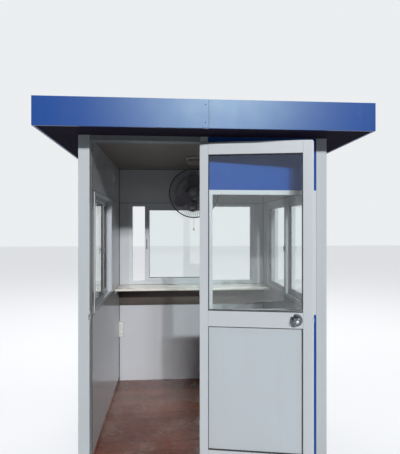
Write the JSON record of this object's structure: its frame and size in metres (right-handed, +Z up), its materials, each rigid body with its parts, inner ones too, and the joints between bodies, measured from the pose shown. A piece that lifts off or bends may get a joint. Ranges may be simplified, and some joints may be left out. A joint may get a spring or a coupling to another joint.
{
  "type": "security guard booth",
  "caption": "Square guard booth of white posts and blue sandwich panels with a half-glazed door standing open, sliding windows, an overhanging roof, a counter and a wall fan.",
  "frame": {"origin": "on the ground under the middle of the roof and of the square body", "axes": "+Z up, the wall with the door faces -Y, and the hinge side of the doorway is +X"},
  "size_m": [1.89, 1.95, 2.236],
  "materials": {
    "white_paint": "satin",
    "panel_white": "satin",
    "door_panel_white": "satin",
    "window_white": "satin",
    "blue_paint": "gloss",
    "soffit_navy": "satin",
    "ceiling_grey": "satin",
    "roof_metal": "satin",
    "frame_steel": "satin",
    "plywood": "matte",
    "floor_vinyl": "gloss",
    "counter_cream": "gloss",
    "clear_glass": "gloss",
    "lamp_cover": "satin",
    "white_plastic": "satin",
    "hinge_steel": "satin",
    "chrome": "gloss",
    "fan_grey": "satin",
    "fan_wire": "satin",
    "fan_blade": "gloss",
    "cord_white": "matte"
  },
  "bodies": {
    "booth": {"base_side_beams": "frame_steel", "base_cross_beams": "frame_steel", "floor_board": "plywood", "floor_vinyl": "floor_vinyl", "corner_posts": "white_paint", "door_jamb": "white_paint", "door_head": "white_paint", "door_sill": "white_paint", "front_wall_panels": "panel_white", "left_wall_panels": "panel_white", "right_wall_panels": "panel_white", "back_wall_panels": "panel_white", "wall_strips": "panel_white", "outer_cladding": "blue_paint", "front_window_frame": "window_white", "left_window_frame": "window_white", "right_window_frame": "window_white", "back_window_frame": "window_white", "front_window_sashes": "window_white", "left_window_sashes": "window_white", "right_window_sashes": "window_white", "back_window_sashes": "window_white", "window_panes": "clear_glass", "ceiling_panel": "ceiling_grey", "soffit_front_back": "soffit_navy", "soffit_sides": "soffit_navy", "roof_beams": "frame_steel", "roof_sheet": "roof_metal", "fascia_front_left": "blue_paint", "fascia_front_right": "blue_paint", "fascia_sides": "blue_paint", "fascia_back": "blue_paint", "counter": "counter_cream", "ceiling_lamp": "lamp_cover", "socket_box": "white_plastic", "jamb_hinges": "hinge_steel", "fan_base": "fan_grey", "fan_cord": "cord_white", "cord_weight": "white_plastic"},
    "door_leaf": {"door_frame": "white_paint", "door_glass": "clear_glass", "door_panel": "door_panel_white", "leaf_hinges": "hinge_steel", "knob_roses": "chrome"},
    "knobs": {"door_knobs": "chrome"},
    "latch": {"latch_bolt": "hinge_steel"},
    "fan_neck": {"fan_neck": "fan_grey"},
    "fan_head": {"fan_motor": "fan_grey", "guard_rim": "fan_wire", "guard_hubs": "fan_wire", "guard_front_wires": "fan_wire", "guard_rear_wires": "fan_wire"},
    "fan_rotor": {"fan_rotor": "fan_blade"}
  },
  "joints": [
    {"name": "door_hinge", "type": "hinge", "parent": "booth", "child": "door_leaf", "pos_m": [-0.0305, -0.764, 1.1], "axis": [0, 0, 1], "range_deg": [-169.15, 4]},
    {"name": "knob_turn", "type": "hinge", "parent": "door_leaf", "child": "knobs", "pos_m": [0.51116, -0.89429, 1.005], "axis": [-0.1882, -0.9821, 0], "range_deg": [0, 50], "stiffness_Nm_per_rad": 0.3, "springref_deg": -17.19},
    {"name": "latch_slide", "type": "slide", "parent": "door_leaf", "child": "latch", "axis": [-0.9821, 0.1882, 0], "range_m": [0, 0.0155]},
    {"name": "fan_tilt", "type": "hinge", "parent": "booth", "child": "fan_neck", "pos_m": [0, 0.599, 1.755], "axis": [1, 0, 0], "range_deg": [-3, 25]},
    {"name": "fan_swing", "type": "hinge", "parent": "fan_neck", "child": "fan_head", "pos_m": [0, 0.559, 1.837], "axis": [0, 0, 1], "range_deg": [-40, 40]},
    {"name": "fan_spin", "type": "hinge", "parent": "fan_head", "child": "fan_rotor", "pos_m": [0, 0.424, 1.837], "axis": [0, 1, 0], "continuous": true}
  ],
  "couplings": [
    {"joint": "latch_slide", "follows": "knob_turn", "m_per_rad": 0.0172}
  ]
}
